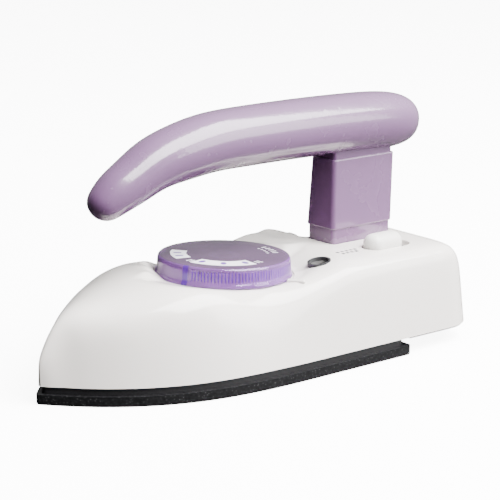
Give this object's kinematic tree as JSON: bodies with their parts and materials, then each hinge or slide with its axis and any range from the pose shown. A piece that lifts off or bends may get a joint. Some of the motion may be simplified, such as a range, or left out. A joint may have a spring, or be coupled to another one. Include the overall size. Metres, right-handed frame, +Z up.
{
  "type": "waxing iron",
  "caption": "Compact electric iron for melting ski and board wax: pointed flat sole, white body, thermostat dial, selector, release slide, arched lift-off handle on a pillar.",
  "frame": {"origin": "on the work surface, under the middle of the whole iron", "axes": "+X towards the heel, -X towards the pointed nose, +Z up from the sole, -Y the side with the selector and the release slide"},
  "size_m": [0.1972, 0.085, 0.1052],
  "materials": {
    "sole_coating": "speckled non-stick coating",
    "shield_steel": "black heat-proof enamel",
    "white_shell": "glossy white moulded plastic",
    "black_plastic": "fine matt black",
    "lavender": "glossy lavender moulded plastic",
    "cream_tab": "satin cream plastic",
    "grey_plastic": "natural grey glass-filled plastic",
    "violet_clear": "clear violet plastic",
    "scale_print": "printed white bands",
    "hub_plastic": "violet moulding",
    "screw_steel": "zinc plated",
    "selector_metal": "brushed",
    "spring_steel": "plain",
    "brass_parts": "plain",
    "element_steel": "heat-tinted",
    "ceramic": "matt",
    "bush_rubber": "matt off-white",
    "lamp_glass": "clear orange",
    "wire_sleeve": "braided glass-fibre sleeve"
  },
  "bodies": {
    "base": {"base_plate": "black_plastic", "bimetal_blade": "spring_steel", "ceramic_spacers": "ceramic", "cord_bush": "bush_rubber", "cord_clamp_bar": "screw_steel", "cord_clamp_screws": "screw_steel", "element_insulators": "ceramic", "element_terminals": "brass_parts", "fuse_clamp": "spring_steel", "handle_socket": "grey_plastic", "heat_shield": "shield_steel", "heating_element": "element_steel", "heel_screws": "screw_steel", "housing": "white_shell", "lamp_holder": "black_plastic", "latch_guide": "grey_plastic", "latch_spring": "spring_steel", "live_wire": "wire_sleeve", "load_wire": "wire_sleeve", "lower_contact_spring": "spring_steel", "neutral_wire": "wire_sleeve", "pilot_lamp": "lamp_glass", "selector_bezel": "black_plastic", "selector_blades": "brass_parts", "selector_switch": "black_plastic", "sole_studs": "screw_steel", "soleplate": "sole_coating", "spindle_bush": "brass_parts", "stack_rivet": "spring_steel", "terminal_block": "black_plastic", "terminal_screws": "screw_steel", "thermal_fuse": "ceramic", "thermostat_frame": "spring_steel", "upper_contact_spring": "spring_steel"},
    "dial": {"dial_cap": "violet_clear", "dial_scale": "scale_print", "dial_hub": "hub_plastic", "hub_clip": "spring_steel", "thermostat_spindle": "brass_parts"},
    "selector": {"selector_rotor": "selector_metal"},
    "release": {"release_tab": "cream_tab", "latch_plate": "grey_plastic"},
    "handle": {"grip_left_shell": "lavender", "grip_right_shell": "lavender", "handle_pillar": "lavender", "notch_plate": "spring_steel", "pillar_bolts": "screw_steel", "grip_screws": "screw_steel"}
  },
  "joints": [
    {"name": "dial_turn", "type": "hinge", "parent": "base", "child": "dial", "pos_m": [-0.0084, 0, 0.0369], "axis": [0.0349, 0, 0.9994], "range_deg": [-120, 150]},
    {"name": "selector_turn", "type": "hinge", "parent": "base", "child": "selector", "pos_m": [0.0244, -0.0216, 0.0412], "axis": [-0.165, 0, 0.9863], "range_deg": [0, 90]},
    {"name": "release_slide", "type": "slide", "parent": "base", "child": "release", "axis": [1, 0, 0], "range_m": [0, 0.004], "stiffness_N_per_m": 400, "springref_m": -0.002, "deforming": ["latch_spring"]},
    {"name": "handle_lift", "type": "slide", "parent": "base", "child": "handle", "axis": [0, 0, 1], "range_m": [0, 0.016]}
  ]
}
